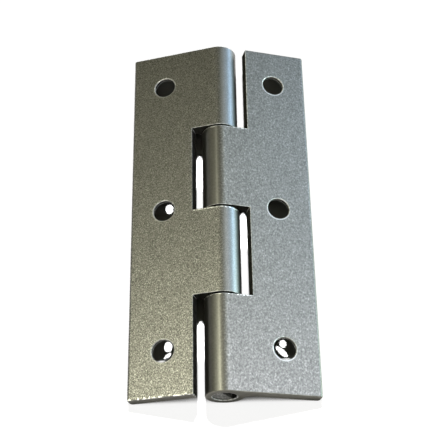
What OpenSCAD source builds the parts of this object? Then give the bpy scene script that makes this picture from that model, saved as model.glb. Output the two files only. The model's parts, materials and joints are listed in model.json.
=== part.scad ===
// Fixed-pin butt hinge: two leaves of one drawn profile, cut to interleave, and a cropped pin.
// The hinge lies on its barrel and on the outer edges of its leaves, like a low tent.
// Millimetres. The pin's axis runs along Y, above the origin, and Z is up from the surface.

/* [Leaves] */
// Length of the hinge along the pin
hinge_length = 100; // [70:1:160]
// Width of one leaf, from the pin's axis to its outer edge
leaf_width = 23.5; // [20.5:0.1:40]
// Thickness of the leaf plate
leaf_thickness = 3.2; // [2:0.1:4]
// Rounding of the long outer edges
edge_radius = 0.7; // [0.2:0.1:0.9]

/* [Barrel] */
// Outside diameter of the knuckles
barrel_d = 9.6; // [8.4:0.1:13]
// Fillet between a knuckle and the inner face of its leaf
root_fillet = 2; // [1:0.1:3]
// Number of knuckles, shared by turns between the leaves
knuckle_count = 4; // [3:1:6]
// Share of the length that the knuckle at the far end takes
far_knuckle = 25.8; // [20:0.1:32]
// Share of the length that the knuckle at the near end takes
near_knuckle = 25.4; // [20:0.1:32]
// Gap along the pin between neighbouring knuckles
knuckle_gap = 0.5; // [0.2:0.1:1]
// Room between a knuckle and the notch of the other leaf
notch_clearance = 1.65; // [1:0.05:3]

/* [Pin] */
// Diameter of the pin, and of the bores that hold it fast
pin_d = 6; // [4:0.1:7]
// Clearance around the pin in the knuckles that turn on it
pin_clearance = 0.05; // [0.02:0.01:0.1]
// Chamfer at the mouths of the bores, at the ends of the hinge
bore_chamfer = 0.2; // [0.1:0.1:0.6]
// How far the ends of the pin lie inside the barrel
pin_recess = 0.3; // [0.2:0.1:3]
// Chamfer at the ends of the pin
pin_chamfer = 0.3; // [0.1:0.1:0.6]
// How much deeper the broken side of a cropped end lies
crop_depth = 1.4; // [0.5:0.1:3]
// Distance of the crop's edge from the pin's axis
crop_edge = 0.4; // [0:0.1:2]
// Turn of the crop's edge about the pin, from upright
crop_turn = -30; // [-90:5:90]

/* [Screw holes] */
// Diameter of the screw holes
screw_hole_d = 5.8; // [4:0.1:7]
// Straight part of a screw hole, at the flush face of the leaf
screw_hole_land = 1.1; // [0.6:0.1:1.6]
// Angle of the countersinks, which open at the inner face of the leaf
countersink_angle = 90; // [80:2:100]
// Number of screw holes in a leaf
screw_hole_count = 3; // [2:1:5]
// Distance of the first hole from the far end of the leaf
screw_hole_far = 10.8; // [6:0.1:18]
// Distance of the last hole from the near end of the leaf
screw_hole_near = 11.8; // [6:0.1:18]
// Distance of the row of holes from the pin's axis
screw_hole_row = 14.25; // [13:0.05:17]

/* [Hidden] */
$fn = 96;

// How far a cut runs past the face that it opens
overrun = 1;
// How far the round of a root fillet runs into the plate and the barrel, so that they cross
fillet_lap = 0.01;

barrel_r = barrel_d / 2;
far_end = hinge_length / 2;
near_end = -hinge_length / 2;
// Height of a leaf's inner face over the pin's axis
inner_face = barrel_r - leaf_thickness;
// Edge of the notches, from the pin's axis
notch_edge = barrel_r + notch_clearance;
running_bore_d = pin_d + 2 * pin_clearance;
pin_length = hinge_length - 2 * pin_recess;
screw_hole_pitch = (hinge_length - screw_hole_far - screw_hole_near) / (screw_hole_count - 1);
// Widening of a countersink, on each side, over a depth of one
countersink_flare = tan(countersink_angle / 2);
countersink_depth = leaf_thickness - screw_hole_land;

// Centre of the root fillet, which touches the barrel and the inner face
fillet_y = inner_face - root_fillet;
fillet_x = sqrt(pow(barrel_r + root_fillet, 2) - pow(fillet_y, 2));

// Centre of the rounding under the outer edge, from the pin's axis
edge_x = leaf_width - edge_radius;
edge_y = inner_face + edge_radius;
// Slope at which the barrel and that edge both touch the surface
leaf_slope = asin((barrel_r - edge_radius) / norm([edge_x, edge_y])) + atan2(edge_y, edge_x);

// Knuckles are counted from the far end, and those between the ends are equal
last_knuckle = knuckle_count - 1;
middle_knuckle = (hinge_length - far_knuckle - near_knuckle) / (knuckle_count - 2);

// Middle of the gap before knuckle i
function gap_before(i) = far_end - far_knuckle - (i - 1) * middle_knuckle;
// End faces of knuckle i
function far_face(i) = i == 0 ? far_end : gap_before(i) - knuckle_gap / 2;
function near_face(i) = i == last_knuckle ? near_end : gap_before(i + 1) + knuckle_gap / 2;

// Section of the plate, from the pin's axis to its rounded outer edges
module plate_section() {
    translate([0, inner_face])
        square([edge_x, leaf_thickness]);
    translate([edge_x, edge_y])
        square([edge_radius, leaf_thickness - 2 * edge_radius]);
    for (y = [edge_y, barrel_r - edge_radius])
        translate([edge_x, y])
            circle(r = edge_radius);
}

// Section of the barrel and the plate, which lies flush with the top of the barrel
module leaf_section(bore_d) {
    difference() {
        union() {
            circle(d = barrel_d);
            plate_section();
        }
        circle(d = bore_d);
    }
}

// Section of the metal that rounds the corner between the barrel and the plate
module root_section() {
    difference() {
        polygon([[0, 0], [0, inner_face], [fillet_x, inner_face], [fillet_x, fillet_y]]);
        translate([fillet_x, fillet_y])
            circle(r = root_fillet + fillet_lap);
        circle(d = (barrel_d + running_bore_d) / 2);
    }
}

// Fillet along the root of knuckle i
module knuckle_root(i) {
    translate([0, far_face(i), 0])
        rotate([90, 0, 0])
            linear_extrude(height = far_face(i) - near_face(i))
                root_section();
}

// Room in a leaf for knuckle i of the other leaf, open at the ends of the hinge
module notch(i) {
    far = far_face(i) + (i == 0 ? overrun : knuckle_gap);
    near = near_face(i) - (i == last_knuckle ? overrun : knuckle_gap);
    reach = barrel_r + overrun;
    translate([-reach, near, -reach])
        cube([reach + notch_edge, far - near, 2 * reach]);
}

// Cones that open the mouths of the bore at both ends of the hinge
module bore_mouths(bore_d) {
    for (turn = [-90, 90])
        rotate([turn, 0, 0])
            translate([0, 0, hinge_length / 2 - bore_chamfer - overrun])
                cylinder(
                    h = bore_chamfer + 2 * overrun,
                    d1 = bore_d - 2 * overrun,
                    d2 = bore_d + 2 * (bore_chamfer + overrun)
                );
}

// A hole drilled square through the plate, with a cone for the head of a screw, from the inner face on
module screw_hole() {
    translate([0, 0, -overrun]) {
        cylinder(d = screw_hole_d, h = leaf_thickness + 2 * overrun);
        cylinder(
            h = countersink_depth + 2 * overrun,
            d1 = screw_hole_d + 2 * countersink_flare * (countersink_depth + overrun),
            d2 = screw_hole_d - 2 * countersink_flare * overrun
        );
    }
}

// Row of holes along a leaf
module screw_holes() {
    for (i = [0 : screw_hole_count - 1])
        translate([screw_hole_row, far_end - screw_hole_far - i * screw_hole_pitch, inner_face])
            screw_hole();
}

// A leaf that lies flat along X from the pin's axis, with every second knuckle from first_own on
module leaf(first_own, bore_d) {
    difference() {
        rotate([90, 0, 0])
            linear_extrude(height = hinge_length, center = true)
                leaf_section(bore_d);
        for (i = [1 - first_own : 2 : last_knuckle])
            notch(i);
        bore_mouths(bore_d);
        screw_holes();
    }
    for (i = [first_own : 2 : last_knuckle])
        knuckle_root(i);
}

// Sets a leaf down on the surface, sloping away from the barrel
module at_rest() {
    translate([0, 0, barrel_r])
        rotate([0, leaf_slope, 0])
            children();
}

// Leaf with the first knuckle, which turns on the pin
module left_leaf() {
    color([0.56, 0.55, 0.49])
        mirror([1, 0, 0])
            at_rest()
                leaf(first_own = 0, bore_d = running_bore_d);
}

// Leaf with the second knuckle, whose bores grip the pin
module right_leaf() {
    color([0.63, 0.66, 0.67])
        at_rest()
            leaf(first_own = 1, bore_d = pin_d);
}

// Round bar with chamfered ends, about Z
module pin_bar() {
    r = pin_d / 2;
    h = pin_length / 2;
    c = pin_chamfer;
    rotate_extrude()
        polygon([[0, -h], [r - c, -h], [r, c - h], [r, h - c], [r - c, h], [0, h]]);
}

// Pin that was cropped from a bar, so that one side of each end broke off deeper
module hinge_pin() {
    color([0.48, 0.48, 0.45])
        translate([0, 0, barrel_r])
            rotate([90, crop_turn, 0])
                difference() {
                    pin_bar();
                    for (end = [-1, 1])
                        translate([crop_edge + pin_d / 2, 0, end * pin_length / 2])
                            cube([pin_d, 2 * pin_d, 2 * crop_depth], center = true);
                }
}

left_leaf();
right_leaf();
hinge_pin();
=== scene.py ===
"""A fixed-pin butt hinge of tumbled steel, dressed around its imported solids."""
import json
import math

import bpy
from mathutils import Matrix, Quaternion, Vector


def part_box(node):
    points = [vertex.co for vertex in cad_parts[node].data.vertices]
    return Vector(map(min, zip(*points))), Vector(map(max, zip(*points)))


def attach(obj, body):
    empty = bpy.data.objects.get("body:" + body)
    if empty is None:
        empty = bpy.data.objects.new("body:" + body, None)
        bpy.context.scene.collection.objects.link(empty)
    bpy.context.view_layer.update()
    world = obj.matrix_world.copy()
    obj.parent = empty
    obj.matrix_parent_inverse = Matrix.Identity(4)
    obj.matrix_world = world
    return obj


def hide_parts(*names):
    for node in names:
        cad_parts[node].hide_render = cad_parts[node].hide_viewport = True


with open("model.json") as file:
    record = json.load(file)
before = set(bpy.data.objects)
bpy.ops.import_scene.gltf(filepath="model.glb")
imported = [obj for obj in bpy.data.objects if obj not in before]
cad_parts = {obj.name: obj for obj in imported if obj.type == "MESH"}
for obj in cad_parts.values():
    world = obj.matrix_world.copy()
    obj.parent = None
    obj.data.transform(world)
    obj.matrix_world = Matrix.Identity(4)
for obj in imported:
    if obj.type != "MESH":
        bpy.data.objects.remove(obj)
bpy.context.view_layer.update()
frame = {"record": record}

# Leaves: two lengths of one drawn steel profile, plate and barrel in one, sawn to length, notched to
# interleave, bored for the pin, drilled and countersunk for screws, then tumbled to a fine grey grain.
# Tumbling has worn the cut edges bright. The left leaf turns on the pin, and the right one grips it.
mm = 0.001
mounts = {mount["name"]: mount for mount in frame["record"]["mounts"]}
near_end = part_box("left_leaf")[0].y
far_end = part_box("left_leaf")[1].y
pin_low, pin_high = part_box("hinge_pin")
# The barrel lies on the surface, so its radius is the height of the pin's axis
pin_axis = (pin_low + pin_high) / 2
barrel_radius = pin_axis.z
pin_radius = (pin_high.z - pin_low.z) / 2
running_clearance = 0.05 * mm
leaf_width = 23.5 * mm
plate_thickness = 3.2 * mm
outer_rounding = 0.7 * mm
root_fillet = 2 * mm
notch_edge = barrel_radius + 1.65 * mm
far_knuckle, middle_knuckle = 25.8 * mm, 24.4 * mm
half_gap = 0.25 * mm
knuckle_count = 4
# Middles of the gaps between the knuckles, counted from the far end
gaps = [far_end - far_knuckle - i * middle_knuckle for i in range(knuckle_count - 1)]
hole_count = 3
hole_land = 1.1 * mm
# Width of the worn edges, and the share of it along the notches
worn_edge_width = 0.24 * mm
notch_wear_share = 0.5
# Reach of the nicks from an edge, and of the rubbed rims from the screw holes
nick_reach = 1.5 * mm
rim_width = 0.4 * mm
# Faces that meet at more than this make an edge
sharp_angle = math.radians(35)
# A face with this much of its normal along an axis faces that way
facing = 0.9
edge_steps, fillet_steps, barrel_steps, hole_steps = 6, 12, 96, 72
# How far a cutting tool runs past the face that it opens
overrun = 1 * mm


def new_finish(name, metallic=1.0):
    """A node material with a bare shader, and its tree."""
    finish = bpy.data.materials.new(name)
    finish.use_nodes = True
    shader = finish.node_tree.nodes["Principled BSDF"]
    shader.inputs["Metallic"].default_value = metallic
    return finish, finish.node_tree, shader


def grain(tree, scale, stretch=(1, 1, 1), detail=3.0, roughness=0.6):
    """Noise on the piece's own coordinates, stretched along its axes."""
    place = tree.nodes.new("ShaderNodeTexCoord")
    mapping = tree.nodes.new("ShaderNodeMapping")
    mapping.inputs["Scale"].default_value = stretch
    noise = tree.nodes.new("ShaderNodeTexNoise")
    noise.inputs["Scale"].default_value = scale
    noise.inputs["Detail"].default_value = detail
    noise.inputs["Roughness"].default_value = roughness
    tree.links.new(place.outputs["Object"], mapping.inputs["Vector"])
    tree.links.new(mapping.outputs["Vector"], noise.inputs["Vector"])
    return noise.outputs["Fac"]


def ramp(tree, factor, stops):
    """Colours along a factor, as pairs of a place and a colour."""
    node = tree.nodes.new("ShaderNodeValToRGB")
    elements = node.color_ramp.elements
    elements[0].position, elements[1].position = stops[0][0], stops[-1][0]
    for place, _ in stops[1:-1]:
        elements.new(place)
    for element, (_, colour) in zip(elements, stops):
        element.color = (*colour, 1)
    tree.links.new(factor, node.inputs["Fac"])
    return node.outputs["Color"]


def multiply(tree, first, second):
    """One colour times another."""
    node = tree.nodes.new("ShaderNodeMix")
    node.data_type = "RGBA"
    node.blend_type = "MULTIPLY"
    node.inputs["Factor"].default_value = 1
    tree.links.new(first, node.inputs["A"])
    tree.links.new(second, node.inputs["B"])
    return node.outputs["Result"]


def spread(tree, factor, low, high):
    """A factor from 0.3 to 0.7, which is most of a noise, spread from low to high."""
    node = tree.nodes.new("ShaderNodeMapRange")
    node.inputs["From Min"].default_value = 0.3
    node.inputs["From Max"].default_value = 0.7
    node.inputs["To Min"].default_value = low
    node.inputs["To Max"].default_value = high
    tree.links.new(factor, node.inputs["Value"])
    return node.outputs["Result"]


def bump(tree, shader, height, distance, strength):
    """Raises the shader's surface by a height."""
    node = tree.nodes.new("ShaderNodeBump")
    node.inputs["Strength"].default_value = strength
    node.inputs["Distance"].default_value = distance
    tree.links.new(height, node.inputs["Height"])
    tree.links.new(node.outputs["Normal"], shader.inputs["Normal"])


def combine(tree, operation, *parts):
    """Sockets and numbers in a math node, in the order in which it takes them."""
    node = tree.nodes.new("ShaderNodeMath")
    node.operation = operation
    for socket, part in zip(node.inputs, parts):
        if isinstance(part, (int, float)):
            socket.default_value = part
        else:
            tree.links.new(part, socket)
    return node.outputs["Value"]


def axis_place(tree, axis, low, high, top=1):
    """A place along one of the piece's own axes, as a factor that is 0 at low and top at high."""
    place = tree.nodes.new("ShaderNodeTexCoord")
    apart = tree.nodes.new("ShaderNodeSeparateXYZ")
    span = tree.nodes.new("ShaderNodeMapRange")
    span.inputs["From Min"].default_value = low
    span.inputs["From Max"].default_value = high
    span.inputs["To Max"].default_value = top
    tree.links.new(place.outputs["Object"], apart.inputs["Vector"])
    tree.links.new(apart.outputs[axis], span.inputs["Value"])
    return span.outputs["Result"]


def tumbled_finish(name, scale, stretch, dark, bright, glint, highlight_shade_lines, rubbed):
    """A tumbled face: fine speckle from dark to bright with glints, mottled, with faint drawing streaks.

    The lines of painted highlight and shade are pairs of a place across the barrel, in millimetres, and a
    share of the colour: above 1 a painted highlight along the knuckle, below 1 painted shade.
    The speckle calms down between the two places of the rubbed flank.
    """
    finish, tree, shader = new_finish(name)
    warm, middle_grey = (1, 0.985, 0.925), 0.265
    even_speckle, rubbed_share = 0.5, 0.75
    calmer = tree.nodes.new("ShaderNodeMix")
    calmer.inputs["B"].default_value = even_speckle
    flank = axis_place(tree, "X", rubbed[0] * mm, rubbed[1] * mm, top=rubbed_share)
    tree.links.new(flank, calmer.inputs["Factor"])
    tree.links.new(grain(tree, scale, stretch=stretch, detail=2), calmer.inputs["A"])
    speckle = calmer.outputs["Result"]
    mottle = grain(tree, 700, stretch=(1, 0.4, 1), detail=2)
    streaks = grain(tree, 1500, stretch=(1, 0.03, 1), detail=2)
    speckle_colour = ramp(tree, speckle, [
        (place, [grey * part for part in warm])
        for place, grey in ((0.30, dark), (0.50, middle_grey), (0.62, bright), (0.74, glint))])
    mottle_colour = ramp(tree, mottle, [(0.35, (0.92, 0.92, 0.92)), (0.65, (1, 1, 1))])
    streak_colour = ramp(tree, streaks, [(0.35, (0.95, 0.95, 0.95)), (0.65, (1, 1, 1))])
    # Painted highlight and shade: bands along the barrel that brighten where a lamp's highlight lies and
    # darken the flank and the band between highlights
    across = axis_place(tree, "X", -barrel_radius, barrel_radius)
    highlight_shade_colour = ramp(tree, across, [
        ((place * mm + barrel_radius) / (2 * barrel_radius), (share, share, share))
        for place, share in highlight_shade_lines])
    worn_colour = multiply(tree, multiply(tree, mottle_colour, streak_colour), highlight_shade_colour)
    tree.links.new(multiply(tree, speckle_colour, worn_colour), shader.inputs["Base Color"])
    tree.links.new(spread(tree, speckle, 0.46, 0.34), shader.inputs["Roughness"])
    bump(tree, shader, speckle, distance=0.03 * mm, strength=0.6)
    return finish


# Each leaf's lines across the barrel are painted highlight and shade, set to where its knuckles catch and
# lose the light
tumbled_finishes = {
    "left_leaf": tumbled_finish(
        "tumbled_left", 4200, (1, 0.66, 1), dark=0.08, bright=0.43, glint=0.9,
        highlight_shade_lines=[(-2.2, 1), (-1.2, 1.08), (-0.2, 0.93), (0.8, 1), (2.2, 1.04), (2.9, 1.25), (3.6, 1.1)],
        rubbed=(-0.6, 0.8)),
    "right_leaf": tumbled_finish(
        "tumbled_right", 2600, (0.92, 0.7, 1), dark=0.17, bright=0.33, glint=0.5,
        highlight_shade_lines=[
            (-3.6, 0.78), (-2.6, 1.05), (-2.2, 1.03), (-1.8, 0.86), (-1.4, 0.93), (-0.95, 1.42),
            (-0.6, 0.98), (-0.2, 0.78), (0.4, 0.95), (1.1, 1.15), (2.0, 1)],
        rubbed=(0.3, -0.9)),
}

# Bare metal where a tool nicked it, painted as bright as glints, and where handling rubbed it round the screw
# holes, with a painted highlight on one side
glint_bright_metal = (0.97, 0.965, 0.94)
rim_wear_and_highlight = (0.9, 0.895, 0.88)


def lay_over(finish, share, colour):
    """Lays a colour over a finish, by a share from 0 to 1."""
    tree = finish.node_tree
    shader = tree.nodes["Principled BSDF"]
    node = tree.nodes.new("ShaderNodeMix")
    node.data_type = "RGBA"
    node.inputs["B"].default_value = (*colour, 1)
    tree.links.new(share, node.inputs["Factor"])
    tree.links.new(shader.inputs["Base Color"].links[0].from_socket, node.inputs["A"])
    tree.links.new(node.outputs["Result"], shader.inputs["Base Color"])


def nick_and_glint_edges(finish, scale, thickness, from_x=None):
    """Bright dots on a finish, as thick as pairs of a place along Y and a share say.

    A place along X keeps them on its inner side, towards the pin.
    """
    tree = finish.node_tree
    # A dot begins and is full where the grain and half the share together pass these
    dot_rim, dot_core = 0.92, 0.98
    thick = ramp(tree, axis_place(tree, "Y", near_end, far_end), [
        ((place - near_end) / (far_end - near_end), (share, share, share)) for place, share in thickness])
    if from_x is not None:
        inwards = math.copysign(half_gap, -from_x)
        thick = multiply(tree, thick, axis_place(tree, "X", from_x, from_x + inwards))
    nearness = combine(tree, "MULTIPLY_ADD", thick, 0.5, grain(tree, scale, detail=1))
    dots = ramp(tree, nearness, [(dot_rim, (0, 0, 0)), (dot_core, (1, 1, 1))])
    # The dots are nicked metal, painted as bright as glints
    lay_over(finish, dots, glint_bright_metal)


def rub_and_highlight_rims(finish, side, shift, share):
    """A pale ring on a leaf's face around each screw hole, wider on the side that it is shifted to."""
    # The ring is wear all round, and a painted highlight where the shift widens it
    tree = finish.node_tree
    place = tree.nodes.new("ShaderNodeTexCoord")
    nearest = far_end - near_end
    for i in range(hole_count):
        hole = mounts[f"{side}_screw_{i + 1}"]
        apart = tree.nodes.new("ShaderNodeVectorMath")
        apart.operation = "DISTANCE"
        apart.inputs[1].default_value = Vector(hole["pos_m"]) - hole_land / 2 * Vector(hole["axis"]) + shift
        tree.links.new(place.outputs["Object"], apart.inputs[0])
        nearest = combine(tree, "MINIMUM", nearest, apart.outputs["Value"])
    radius = hole["dims"]["r_mm"] * mm
    full_width = 0.6 * rim_width
    ring = tree.nodes.new("ShaderNodeMapRange")
    ring.inputs["From Min"].default_value = radius + rim_width
    ring.inputs["From Max"].default_value = radius + full_width
    ring.inputs["To Max"].default_value = share
    tree.links.new(nearest, ring.inputs["Value"])
    lay_over(finish, ring.outputs["Result"], rim_wear_and_highlight)


# The saw nicked the near end of the left leaf, and the cutter the far ends of the knuckles, which start
# at the notches. The nicks are painted as bright as glints.
lean = mounts["right_face"]["axis"]
notch_x = notch_edge * lean[2] + barrel_radius * lean[0]
knuckle_reach, knuckle_core = 0.4 * nick_reach, 0.25 * nick_reach
knuckle_nicks = []
for gap in gaps:
    end = gap - half_gap
    knuckle_nicks.append([(end - knuckle_reach, 0), (end - knuckle_core, 1), (end, 1), (gap, 0)])
nick_and_glint_edges(tumbled_finishes["left_leaf"], 1300, [(near_end, 0.93), (near_end + nick_reach, 0)])
nick_and_glint_edges(tumbled_finishes["left_leaf"], 1500, knuckle_nicks[1], from_x=-notch_x)
nick_and_glint_edges(tumbled_finishes["right_leaf"], 1720, knuckle_nicks[2] + knuckle_nicks[0], from_x=notch_x)
# Pale rims round the screw holes: wear, with a painted highlight on the side each ring is shifted to
rub_and_highlight_rims(tumbled_finishes["left_leaf"], "left", Vector((-0.1, -0.02, 0)) * mm, share=0.25)
rub_and_highlight_rims(tumbled_finishes["right_leaf"], "right", Vector((-0.03, -0.14, 0)) * mm, share=0.55)

# Worn edges: bare pale metal, scratched in all directions
worn_steel, tree, shader = new_finish("worn_steel", metallic=0.9)
scuffs = grain(tree, 1300, detail=2)
scuff_colour = ramp(tree, scuffs, [(0.38, (0.34, 0.337, 0.325)), (0.62, (0.72, 0.715, 0.695))])
tree.links.new(scuff_colour, shader.inputs["Base Color"])
tree.links.new(spread(tree, scuffs, 0.8, 0.6), shader.inputs["Roughness"])

# Burred ends: an edge left by the saw, with bright specks painted as glints
burred_steel, tree, shader = new_finish("burred_steel")
burr = grain(tree, 1300, detail=1)
burr_colour = ramp(
    tree, burr, [(0.38, (0.2, 0.197, 0.185)), (0.48, (0.32, 0.316, 0.3)), (0.55, glint_bright_metal)])
tree.links.new(burr_colour, shader.inputs["Base Color"])
tree.links.new(spread(tree, burr, 0.45, 0.28), shader.inputs["Roughness"])

# Sawn ends: dull, with fine marks of the saw across them
sawn_steel, tree, shader = new_finish("sawn_steel")
marks = grain(tree, 1800, stretch=(0.12, 1, 1), detail=3)
mark_colour = ramp(tree, marks, [(0.35, (0.17, 0.162, 0.138)), (0.65, (0.27, 0.26, 0.225))])
tree.links.new(mark_colour, shader.inputs["Base Color"])
shader.inputs["Roughness"].default_value = 0.5
bump(tree, shader, marks, distance=0.02 * mm, strength=0.3)

# Milled notches: painted near black and unreflecting as the shade that fills them, with marks of the cutter
# down their walls
milled_shade_steel, tree, shader = new_finish("milled_shade_steel", metallic=0.0)
feed = grain(tree, 900, stretch=(1, 1, 0.1), detail=2)
feed_colour = ramp(tree, feed, [(0.35, (0.014, 0.013, 0.011)), (0.65, (0.03, 0.029, 0.025))])
tree.links.new(feed_colour, shader.inputs["Base Color"])
shader.inputs["Roughness"].default_value = 0.45
shader.inputs["Specular IOR Level"].default_value = 0
bump(tree, shader, feed, distance=0.02 * mm, strength=0.4)

# Drilled walls: painted dark as the shade inside the screw holes and the bore, with rings left by the drill
drilled_shade_steel, tree, shader = new_finish("drilled_shade_steel")
rings = grain(tree, 700, stretch=(0.15, 0.15, 3), detail=2)
ring_colour = ramp(tree, rings, [(0.35, (0.05, 0.048, 0.042)), (0.65, (0.11, 0.106, 0.095))])
tree.links.new(ring_colour, shader.inputs["Base Color"])
shader.inputs["Roughness"].default_value = 0.35
bump(tree, shader, rings, distance=0.02 * mm, strength=0.4)

# The first finishes on a leaf, in their order. Its cutting tools bring the others.
tumbled_slot, worn_slot, sawn_slot, burred_slot = range(4)


def select_faces(piece, chosen):
    """Selects the faces of a piece that a test chooses, and goes to edit mode."""
    bpy.ops.object.select_all(action="DESELECT")
    bpy.context.view_layer.objects.active = piece
    piece.select_set(True)
    bpy.ops.object.mode_set(mode="EDIT")
    bpy.ops.mesh.select_mode(type="FACE")
    bpy.ops.mesh.select_all(action="DESELECT")
    bpy.ops.object.mode_set(mode="OBJECT")
    for face in piece.data.polygons:
        face.select = chosen(face)
    bpy.ops.object.mode_set(mode="EDIT")


def cut(piece, tool, finish):
    """Takes a cutting tool out of a piece, and gives the walls that it leaves a finish."""
    tool.data.materials.clear()
    tool.data.materials.append(finish)
    bpy.ops.object.select_all(action="DESELECT")
    bpy.context.view_layer.objects.active = piece
    piece.select_set(True)
    bpy.ops.object.modifier_add(type="BOOLEAN")
    boolean = piece.modifiers[-1]
    boolean.operation = "DIFFERENCE"
    boolean.solver = "EXACT"
    boolean.material_mode = "TRANSFER"
    boolean.object = tool
    bpy.ops.object.modifier_apply(modifier=boolean.name)
    bpy.data.objects.remove(tool)


def drawn_profile(name):
    """A full length of a leaf's profile, lying flat along X from the pin's axis, which is Y here."""
    inner_face = barrel_radius - plate_thickness
    rounding_x = leaf_width - outer_rounding
    fillet_z = inner_face - root_fillet
    fillet_x = math.sqrt((barrel_radius + root_fillet) ** 2 - fillet_z ** 2)
    tangent = math.atan2(-fillet_z, fillet_x)
    clockwise, anticlockwise = (0, -1, 0), (0, 1, 0)
    quarter = math.pi / 2

    bpy.ops.object.select_all(action="DESELECT")
    bpy.ops.mesh.primitive_plane_add(size=mm)
    blank = bpy.context.object
    blank.name = "steel_" + name
    bpy.ops.object.mode_set(mode="EDIT")
    bpy.ops.mesh.select_mode(type="VERT")
    bpy.ops.mesh.merge(type="CENTER")
    bpy.ops.transform.translate(value=(0, far_end, barrel_radius))
    bpy.ops.mesh.extrude_region_move(TRANSFORM_OT_translate={"value": (rounding_x, 0, 0)})
    bpy.ops.mesh.spin(
        steps=edge_steps, angle=quarter, axis=clockwise,
        center=(rounding_x, far_end, barrel_radius - outer_rounding))
    bpy.ops.mesh.extrude_region_move(
        TRANSFORM_OT_translate={"value": (0, 0, 2 * outer_rounding - plate_thickness)})
    bpy.ops.mesh.spin(
        steps=edge_steps, angle=quarter, axis=clockwise,
        center=(rounding_x, far_end, inner_face + outer_rounding))
    bpy.ops.mesh.extrude_region_move(TRANSFORM_OT_translate={"value": (fillet_x - rounding_x, 0, 0)})
    bpy.ops.mesh.spin(
        steps=fillet_steps, angle=quarter - tangent, axis=anticlockwise, center=(fillet_x, far_end, fillet_z))
    bpy.ops.mesh.spin(
        steps=barrel_steps, angle=3 * quarter - tangent, axis=clockwise, center=(0, far_end, 0))
    bpy.ops.mesh.select_all(action="SELECT")
    bpy.ops.mesh.remove_doubles(threshold=0.001 * mm)
    bpy.ops.mesh.edge_face_add()
    bpy.ops.mesh.extrude_region_move(TRANSFORM_OT_translate={"value": (0, near_end - far_end, 0)})
    bpy.ops.mesh.select_all(action="SELECT")
    bpy.ops.mesh.normals_make_consistent(inside=False)
    bpy.ops.object.mode_set(mode="OBJECT")
    for finish in (
        tumbled_finishes[name], worn_steel, sawn_steel, burred_steel, drilled_shade_steel, milled_shade_steel,
    ):
        blank.data.materials.append(finish)
    return blank


def notch_tool(near, far):
    """A block as wide as a notch, which frees a stretch of the barrel."""
    reach = barrel_radius + overrun
    bpy.ops.object.select_all(action="DESELECT")
    bpy.ops.mesh.primitive_cube_add(size=1, location=((notch_edge - reach) / 2, (near + far) / 2, 0))
    tool = bpy.context.object
    tool.scale = (notch_edge + reach, far - near, 2 * reach)
    return tool


def hole_tool(hole):
    """A countersink with its drill above it, at a screw hole of the leaf."""
    radius = hole["dims"]["r_mm"] * mm
    depth = plate_thickness - hole_land + overrun
    across = math.hypot(hole["pos_m"][0], hole["pos_m"][2] - barrel_radius)
    row = math.sqrt(across ** 2 - (barrel_radius - hole_land / 2) ** 2)
    bottom = barrel_radius - plate_thickness - overrun
    bpy.ops.object.select_all(action="DESELECT")
    bpy.ops.mesh.primitive_cone_add(
        vertices=hole_steps, radius1=radius + depth, radius2=radius, depth=depth,
        location=(row, hole["pos_m"][1], bottom + depth / 2))
    tool = bpy.context.object
    select_faces(tool, lambda face: face.normal.z > facing)
    bpy.ops.mesh.extrude_region_move(TRANSFORM_OT_translate={"value": (0, 0, hole_land + overrun)})
    bpy.ops.object.mode_set(mode="OBJECT")
    return tool


def wear_edges(piece, end_slot):
    """Rounds off the edges of a leaf, less along the notches, in the worn finish or one for its ends."""
    mesh = piece.data
    beside = {}
    for face in mesh.polygons:
        for ends in face.edge_keys:
            beside.setdefault(ends, []).append(face)
    wear_share = mesh.attributes.new("bevel_weight_edge", "FLOAT", "EDGE")
    for edge in mesh.edges:
        first, second = beside[edge.key]
        if first.normal.angle(second.normal) > sharp_angle:
            middle = (mesh.vertices[edge.vertices[0]].co + mesh.vertices[edge.vertices[1]].co) / 2
            at_end = min(far_end - middle.y, middle.y - near_end) <= overrun
            along_notch = middle.x < notch_edge + overrun and not at_end
            wear_share.data[edge.index].value = notch_wear_share if along_notch else 1
    bpy.ops.object.select_all(action="DESELECT")
    bpy.context.view_layer.objects.active = piece
    piece.select_set(True)
    bpy.ops.object.modifier_add(type="BEVEL")
    wear = piece.modifiers[-1]
    wear.width = worn_edge_width
    wear.segments = 3
    wear.limit_method = "WEIGHT"
    wear.use_clamp_overlap = False
    wear.material = worn_slot
    bpy.ops.object.modifier_apply(modifier=wear.name)
    mesh.attributes.remove(mesh.attributes["bevel_weight_edge"])
    for face in mesh.polygons:
        from_end = min(far_end - face.center.y, face.center.y - near_end)
        round_bore = math.hypot(face.center.x, face.center.z) < (pin_radius + barrel_radius) / 2
        if face.material_index == worn_slot and from_end < worn_edge_width and not round_bore:
            face.material_index = end_slot


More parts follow.
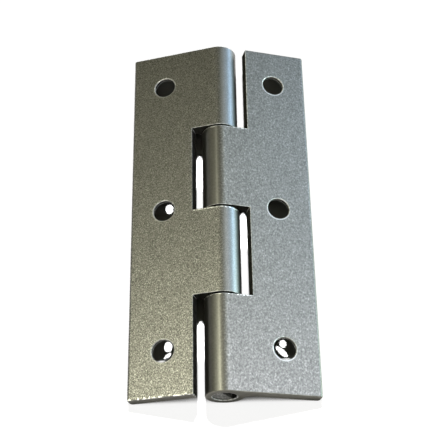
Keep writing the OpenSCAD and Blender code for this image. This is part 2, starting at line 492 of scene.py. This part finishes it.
def make_leaf(name, body, first_own, bore_radius, end_slot, outer_slot):
    """A leaf with every second knuckle from first_own on, counted from the far end."""
    side = name.split("_")[0]
    piece = drawn_profile(name)
    select_faces(piece, lambda face: abs(face.normal.y) > facing)
    piece.active_material_index = sawn_slot
    bpy.ops.object.material_slot_assign()
    bpy.ops.object.mode_set(mode="OBJECT")
    # The rounded outer edge, but for its first facets, which run into the faces
    first_facets = 0.2
    select_faces(piece, lambda face: face.normal.x > first_facets and face.center.x > leaf_width / 2)
    piece.active_material_index = outer_slot
    bpy.ops.object.material_slot_assign()
    bpy.ops.object.mode_set(mode="OBJECT")

    cut_places = [far_end + overrun, *gaps, near_end - overrun]
    for i in range(1 - first_own, knuckle_count, 2):
        cut(piece, notch_tool(cut_places[i + 1] - half_gap, cut_places[i] + half_gap), milled_shade_steel)
    bpy.ops.object.select_all(action="DESELECT")
    bpy.ops.mesh.primitive_cylinder_add(
        vertices=barrel_steps, radius=bore_radius, depth=far_end - near_end + 2 * overrun,
        rotation=(math.pi / 2, 0, 0))
    cut(piece, bpy.context.object, drilled_shade_steel)
    for i in range(hole_count):
        cut(piece, hole_tool(mounts[f"{side}_screw_{i + 1}"]), drilled_shade_steel)
    wear_edges(piece, end_slot)

    lean = mounts[f"{side}_face"]["axis"]
    slope = math.atan2(abs(lean[0]), lean[2])
    piece.rotation_euler = (0, slope, 0)
    piece.location = (0, 0, barrel_radius)
    bpy.ops.object.transform_apply(location=True, rotation=True, scale=True)
    if side == "left":
        bpy.ops.object.mode_set(mode="EDIT")
        bpy.ops.mesh.select_all(action="SELECT")
        bpy.ops.transform.resize(value=(-1, 1, 1), center_override=(0, 0, 0))
        bpy.ops.mesh.normals_make_consistent(inside=False)
        bpy.ops.object.mode_set(mode="OBJECT")
    bpy.ops.object.shade_smooth_by_angle(angle=sharp_angle)
    bpy.ops.object.modifier_add(type="WEIGHTED_NORMAL")
    flats = piece.modifiers[-1]
    flats.keep_sharp = True
    bpy.ops.object.modifier_apply(modifier=flats.name)
    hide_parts(name)
    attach(piece, body)
    return piece


left_leaf = make_leaf(
    "left_leaf", "left_half", first_own=0, bore_radius=pin_radius + running_clearance,
    end_slot=burred_slot, outer_slot=tumbled_slot)
right_leaf = make_leaf(
    "right_leaf", "right_half", first_own=1, bore_radius=pin_radius,
    end_slot=sawn_slot, outer_slot=sawn_slot)

# Pin: a length of drawn round bar, pressed into the right leaf's knuckles and cropped inside the barrel.
# The shear cut one side of each end clean and broke the other side off deeper, with a ragged step
# between them.
pin_chamfer = 0.3 * mm
crop_depth = 1.4 * mm
crop_edge = 0.4 * mm
crop_turn = math.radians(-30)
break_roughness = 0.25 * mm
tear_size = 1.4 * mm
tear_cuts = 28

# Drawn bar, with fine scratches along it
drawn_steel, tree, shader = new_finish("drawn_steel")
scratches = grain(tree, 1600, stretch=(1, 0.05, 1))
scratch_colour = ramp(tree, scratches, [(0.35, (0.3, 0.3, 0.28)), (0.65, (0.5, 0.5, 0.47))])
tree.links.new(scratch_colour, shader.inputs["Base Color"])
tree.links.new(spread(tree, scratches, 0.45, 0.3), shader.inputs["Roughness"])

# Broken metal: dull and rough, with bright torn grains
broken_steel, tree, shader = new_finish("broken_steel")
tears = grain(tree, 2200, detail=4)
tear_colour = ramp(
    tree, tears, [(0.35, (0.18, 0.178, 0.17)), (0.55, (0.4, 0.397, 0.38)), (0.72, (0.8, 0.795, 0.77))])
tree.links.new(tear_colour, shader.inputs["Base Color"])
tree.links.new(spread(tree, tears, 0.6, 0.4), shader.inputs["Roughness"])
bump(tree, shader, tears, distance=0.05 * mm, strength=0.6)

bpy.ops.object.select_all(action="DESELECT")
bpy.ops.mesh.primitive_cylinder_add(
    vertices=barrel_steps, radius=pin_radius, depth=pin_high.y - pin_low.y,
    location=pin_axis, rotation=(math.pi / 2, 0, 0))
pin = bpy.context.object
pin.name = "steel_pin"
pin.data.materials.append(drawn_steel)
pin.data.materials.append(broken_steel)
broken_slot = 1
bpy.ops.object.transform_apply(location=True, rotation=True, scale=True)
select_faces(pin, lambda face: abs(face.normal.y) > facing)
pin.active_material_index = broken_slot
bpy.ops.object.material_slot_assign()
bpy.ops.mesh.bevel(offset=pin_chamfer, segments=3, affect="EDGES")
bpy.ops.object.mode_set(mode="OBJECT")
for end in (pin_low.y, pin_high.y):
    bpy.ops.object.select_all(action="DESELECT")
    bpy.ops.mesh.primitive_cube_add(size=1)
    shear = bpy.context.object
    shear.scale = (2 * pin_radius, 2 * crop_depth, 4 * pin_radius)
    shear.location = (crop_edge + pin_radius, 0, 0)
    bpy.ops.object.transform_apply(location=True, rotation=True, scale=True)
    bpy.ops.object.mode_set(mode="EDIT")
    bpy.ops.mesh.select_all(action="SELECT")
    bpy.ops.mesh.subdivide(number_cuts=tear_cuts)
    bpy.ops.object.mode_set(mode="OBJECT")
    bpy.ops.object.modifier_add(type="DISPLACE")
    ragged = shear.modifiers[-1]
    ragged.texture = bpy.data.textures.new("torn_edge", "CLOUDS")
    ragged.texture.noise_scale = tear_size
    ragged.strength = 2 * break_roughness
    bpy.ops.object.modifier_apply(modifier=ragged.name)
    shear.rotation_euler = (0, crop_turn, 0)
    shear.location = (pin_axis.x, end, pin_axis.z)
    cut(pin, shear, broken_steel)
bpy.ops.object.shade_smooth_by_angle(angle=sharp_angle)
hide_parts("hinge_pin")
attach(pin, "right_half")

# Floor: the seamless sheet that the hinge lies on. It is dull, and grey enough to throw little light back
# at the hinge. Its own lamps, below, light it white.
floor_size = 8.0
floor_drop = 0.02 * mm
# Share of the light that the sheet sends back
sheet_share = 0.3
bpy.ops.object.select_all(action="DESELECT")
bpy.ops.mesh.primitive_plane_add(size=floor_size, location=(0, 0, -floor_drop))
floor = bpy.context.object
floor.name = "floor"
white_sheet, tree, shader = new_finish("white_sheet", metallic=0.0)
shader.inputs["Base Color"].default_value = (sheet_share, sheet_share, sheet_share, 1)
shader.inputs["Roughness"].default_value = 1
shader.inputs["Specular IOR Level"].default_value = 0

# In front of the hinge, where its shadow falls, the sheet is seen whiter than it is lit, but not close to
# the hinge, where less of the sky is open. Metal shows a part of that white.
fill_white = 0.9
fill_from, fill_to = 0.28, 0.48
shade_reach = 25 * mm
front_depth = 2 * mm
reflected_share = 0.15
openness = tree.nodes.new("ShaderNodeAmbientOcclusion")
openness.samples = 16
openness.inputs["Distance"].default_value = shade_reach
fill = tree.nodes.new("ShaderNodeMapRange")
fill.interpolation_type = "SMOOTHSTEP"
fill.inputs["From Min"].default_value = fill_from
fill.inputs["From Max"].default_value = fill_to
fill.inputs["To Max"].default_value = fill_white
tree.links.new(openness.outputs["AO"], fill.inputs["Value"])
front = axis_place(tree, "Y", near_end + front_depth, near_end)
path = tree.nodes.new("ShaderNodeLightPath")
seen = path.outputs["Is Camera Ray"]
for ray in ("Is Glossy Ray", "Is Transmission Ray"):
    seen = combine(tree, "MULTIPLY_ADD", path.outputs[ray], reflected_share, seen)
glow = combine(tree, "MULTIPLY", combine(tree, "MULTIPLY", front, fill.outputs["Result"]), seen)
shader.inputs["Emission Color"].default_value = (1, 1, 1, 1)
tree.links.new(glow, shader.inputs["Emission Strength"])
floor.data.materials.append(white_sheet)

# Light: a dim warm room, with soft round boxes over the leaves and a low cool window on the right, which
# light only the hinge. A sun in line with the barrel and narrow beams light only the sheet.
box_distance = 1.0
box_size = 0.46
room_colour = (0.085, 0.08, 0.047, 1)
hinge_only = bpy.data.collections.new("hinge_only")
for piece in (left_leaf, right_leaf, pin):
    hinge_only.objects.link(piece)
floor_only = bpy.data.collections.new("floor_only")
floor_only.objects.link(floor)
world = bpy.data.worlds.new("room")
bpy.context.scene.world = world
world.use_nodes = True
world.node_tree.nodes["Background"].inputs["Color"].default_value = room_colour


def way_to(elevation, azimuth):
    """The direction in which something stands, from angles in degrees: azimuth 0 is right and 90 is far."""
    rise, turn = math.radians(elevation), math.radians(azimuth)
    return Vector((math.cos(rise) * math.cos(turn), math.cos(rise) * math.sin(turn), math.sin(rise)))


def new_lamp(name, kind, lit):
    """A lamp that lights only the objects of a collection, and its light."""
    light = bpy.data.lights.new(name, kind)
    lamp = bpy.data.objects.new(name, light)
    bpy.context.scene.collection.objects.link(lamp)
    lamp.light_linking.receiver_collection = lit
    return lamp, light


for name, elevation, azimuth, brightness in (
    ("left_box", 61, 180, (9.0, 8.95, 7.0)),
    ("right_box", 57, 0, (5.9, 5.9, 6.65)),
    ("far_right_box", 57, 45, (1.2, 1.35, 1.3)),
    ("near_left_box", 42, 240, (3.5, 3.5, 3.2)),
    ("near_right_box", 42, 300, (2.2, 2.3, 2.5)),
    ("overhead_box", 80, 120, (0.95, 0.9, 0.65)),
    ("window", 10, 0, (15.4, 21.0, 19.5)),
    ("window_side", 10, 30, (1.9, 3.0, 4.7)),
    ("window_top", 33, 40, (0.9, 1.2, 1.6)),
):
    lamp, light = new_lamp(name, "AREA", hinge_only)
    light.shape = "DISK"
    light.size = box_size
    # The brightness is that of the lamp's face, and the colour has its strongest part at one
    light.color = [part / max(brightness) for part in brightness]
    light.energy = max(brightness) * math.pi * math.pi * box_size ** 2 / 4
    way = way_to(elevation, azimuth)
    lamp.location = box_distance * way
    lamp.rotation_euler = (-way).to_track_quat("-Z", "Y").to_euler()

# The sun lights the sheet white, passes the slits along the knuckles and leaves the sheet under the leaves
# in shadow
sun_way = way_to(56, 90)
lamp, light = new_lamp("sheet_light_far", "SUN", floor_only)
light.angle = math.radians(4)
light.energy = math.pi / sheet_share / sun_way.z
lamp.rotation_euler = (-sun_way).to_track_quat("-Z", "Y").to_euler()

# The beams pass three screw holes and three slits, and light small places of the sheet under them. Each has
# a place on the sheet, half its length and half its width there, in millimetres, and a turn. Their strength
# is a share of the sheet's white.
beam_length = 110 * mm
beam_white = 1.5
beam_way = way_to(63, -90)
for name, place, length, width, turn in (
    ("left_middle_beam", (-13.88, 3.76), 1.25, 1.05, 90),
    ("left_far_beam", (-13.96, -35.27), 1.25, 1.0, 90),
    ("left_near_beam", (-14.13, -37.8), 1.2, 0.5, 42),
    ("right_far_beam", (14.79, -35.1), 0.95, 0.85, 90),
    ("right_near_beam", (14.5, -37.21), 2.0, 0.65, -42),
    ("left_far_slit_beam", (-5.68, 14.22), 5.2, 1.35, 90),
    ("right_slit_beam", (5.72, -3.75), 5.2, 1.5, 90),
    ("left_near_slit_beam", (-5.79, -34.4), 5.2, 1.42, 90),
):
    lamp, light = new_lamp(name, "SPOT", floor_only)
    light.spot_size = 2 * math.atan(length * mm / beam_length)
    light.spot_blend = 0.05
    light.shadow_soft_size = 0.1 * mm
    light.energy = beam_white * 4 * math.pi ** 2 * beam_length ** 2 / sheet_share / beam_way.z
    lamp.location = Vector((*place, 0)) * mm + beam_length * beam_way
    lamp.rotation_mode = "QUATERNION"
    rolled = Quaternion((0, 0, 1), math.radians(turn))
    lamp.rotation_quaternion = (-beam_way).to_track_quat("-Z", "Y") @ rolled
    lamp.scale = (1, width / length, 1)
    lamp.visible_camera = False

# Camera: a hand-held one above the near end, as in the photograph, which is 448 pixels square. Its angle,
# distance and lens come from the corners and edges of the hinge there.
view_azimuth = 0.138
view_elevation = 63.02
view_roll = math.radians(-1.311)
view_distance = 270.922 * mm
view_target = Vector((0.641 * mm, -3.407 * mm, barrel_radius))
camera_data = bpy.data.cameras.new("camera")
camera_data.lens = 83.57
camera_data.sensor_width = 36
camera_data.clip_start = 0.01
camera = bpy.data.objects.new("camera", camera_data)
bpy.context.scene.collection.objects.link(camera)
back = way_to(view_elevation, view_azimuth - 90)
camera.location = view_target + view_distance * back
camera.rotation_mode = "QUATERNION"
camera.rotation_quaternion = (-back).to_track_quat("-Z", "Y") @ Quaternion((0, 0, 1), view_roll)
bpy.context.scene.camera = camera
bpy.context.scene.view_settings.view_transform = "Standard"
